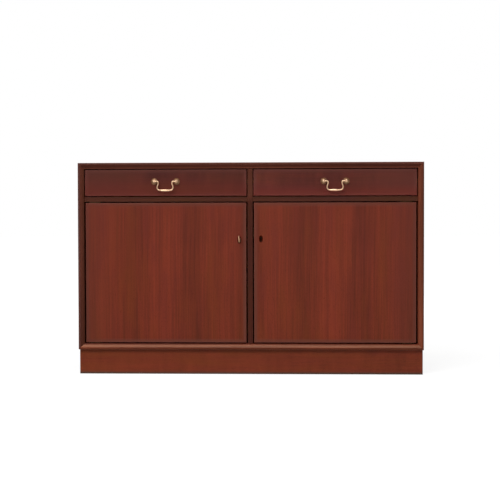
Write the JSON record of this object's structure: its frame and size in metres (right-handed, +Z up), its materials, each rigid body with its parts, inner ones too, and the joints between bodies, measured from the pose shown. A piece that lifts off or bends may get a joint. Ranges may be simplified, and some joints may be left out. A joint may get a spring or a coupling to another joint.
{
  "type": "office credenza",
  "caption": "Low mahogany cabinet: bevelled mitred case, drawers with brass swan-neck bails, locking flush doors on knife hinges, inner shelves and a set-back plinth.",
  "frame": {"origin": "on the floor, under the middle of the bounding box", "axes": "+X along the width, to the right seen from the front; +Y from the front to the back; +Z up"},
  "size_m": [1.34, 0.447, 0.822],
  "materials": {
    "case_mahogany": "satin lacquer, dark red brown, straight grain",
    "door_mahogany": "satin lacquer, red brown ribbon grain",
    "drawer_mahogany": "satin lacquer, darker red brown, grain along the drawer",
    "boxwork": "plain oiled wood",
    "plywood": "thin plywood, plain",
    "brass": "polished, slightly dulled",
    "steel": "plain, dulled"
  },
  "bodies": {
    "case": {"top_panel": "case_mahogany", "bottom_panel": "case_mahogany", "left_side_panel": "case_mahogany", "right_side_panel": "case_mahogany", "centre_partition": "case_mahogany", "left_drawer_divider": "case_mahogany", "right_drawer_divider": "case_mahogany", "back_panel": "plywood", "plinth_front": "door_mahogany", "plinth_left": "door_mahogany", "plinth_right": "door_mahogany", "plinth_back": "boxwork", "left_shelf": "case_mahogany", "right_shelf": "case_mahogany", "left_shelf_left_cleat": "case_mahogany", "left_shelf_right_cleat": "case_mahogany", "right_shelf_left_cleat": "case_mahogany", "right_shelf_right_cleat": "case_mahogany", "left_drawer_left_runner": "boxwork", "left_drawer_right_runner": "boxwork", "right_drawer_left_runner": "boxwork", "right_drawer_right_runner": "boxwork", "left_top_hinge_case_leaf": "brass", "left_bottom_hinge_case_leaf": "brass", "right_top_hinge_case_leaf": "brass", "right_bottom_hinge_case_leaf": "brass", "left_strike_plate": "brass", "right_strike_plate": "brass"},
    "left_drawer": {"left_drawer_front": "drawer_mahogany", "left_drawer_left_side": "boxwork", "left_drawer_right_side": "boxwork", "left_drawer_back": "boxwork", "left_drawer_bottom": "plywood", "left_handle_left_rose": "brass", "left_handle_right_rose": "brass", "left_handle_left_post": "brass", "left_handle_right_post": "brass"},
    "right_drawer": {"right_drawer_front": "drawer_mahogany", "right_drawer_left_side": "boxwork", "right_drawer_right_side": "boxwork", "right_drawer_back": "boxwork", "right_drawer_bottom": "plywood", "right_handle_left_rose": "brass", "right_handle_right_rose": "brass", "right_handle_left_post": "brass", "right_handle_right_post": "brass"},
    "left_bail": {"left_handle_bail": "brass"},
    "right_bail": {"right_handle_bail": "brass"},
    "left_leaf": {"left_door": "door_mahogany", "left_top_hinge_door_leaf": "brass", "left_bottom_hinge_door_leaf": "brass", "left_lock_case": "steel"},
    "right_leaf": {"right_door": "door_mahogany", "right_top_hinge_door_leaf": "brass", "right_bottom_hinge_door_leaf": "brass", "right_lock_case": "steel"},
    "key": {"left_key": "brass"},
    "left_bolt": {"left_lock_bolt": "brass"},
    "right_bolt": {"right_lock_bolt": "brass"}
  },
  "joints": [
    {"name": "left_drawer_slide", "type": "slide", "parent": "case", "child": "left_drawer", "axis": [0, -1, 0], "range_m": [0, 0.3]},
    {"name": "right_drawer_slide", "type": "slide", "parent": "case", "child": "right_drawer", "axis": [0, -1, 0], "range_m": [0, 0.3]},
    {"name": "left_bail_swing", "type": "hinge", "parent": "left_drawer", "child": "left_bail", "pos_m": [-0.3285, -0.2095, 0.7495], "axis": [-1, 0, 0], "range_deg": [-15, 160]},
    {"name": "right_bail_swing", "type": "hinge", "parent": "right_drawer", "child": "right_bail", "pos_m": [0.3285, -0.2095, 0.7495], "axis": [-1, 0, 0], "range_deg": [-15, 160]},
    {"name": "left_door_hinge", "type": "hinge", "parent": "case", "child": "left_leaf", "pos_m": [-0.626, -0.1845, 0.393], "axis": [0, 0, -1], "range_deg": [0, 110]},
    {"name": "right_door_hinge", "type": "hinge", "parent": "case", "child": "right_leaf", "pos_m": [0.626, -0.1845, 0.393], "axis": [0, 0, 1], "range_deg": [0, 110]},
    {"name": "key_turn", "type": "hinge", "parent": "left_leaf", "child": "key", "pos_m": [-0.042, -0.19, 0.526], "axis": [0, 1, 0], "range_deg": [0, 360]},
    {"name": "left_bolt_throw", "type": "slide", "parent": "left_leaf", "child": "left_bolt", "axis": [1, 0, 0], "range_m": [0, 0.0095]},
    {"name": "right_bolt_throw", "type": "slide", "parent": "right_leaf", "child": "right_bolt", "axis": [-1, 0, 0], "range_m": [0, 0.0095]}
  ],
  "couplings": [
    {"joint": "left_bolt_throw", "follows": "key_turn", "m_per_rad": 0.001512}
  ]
}
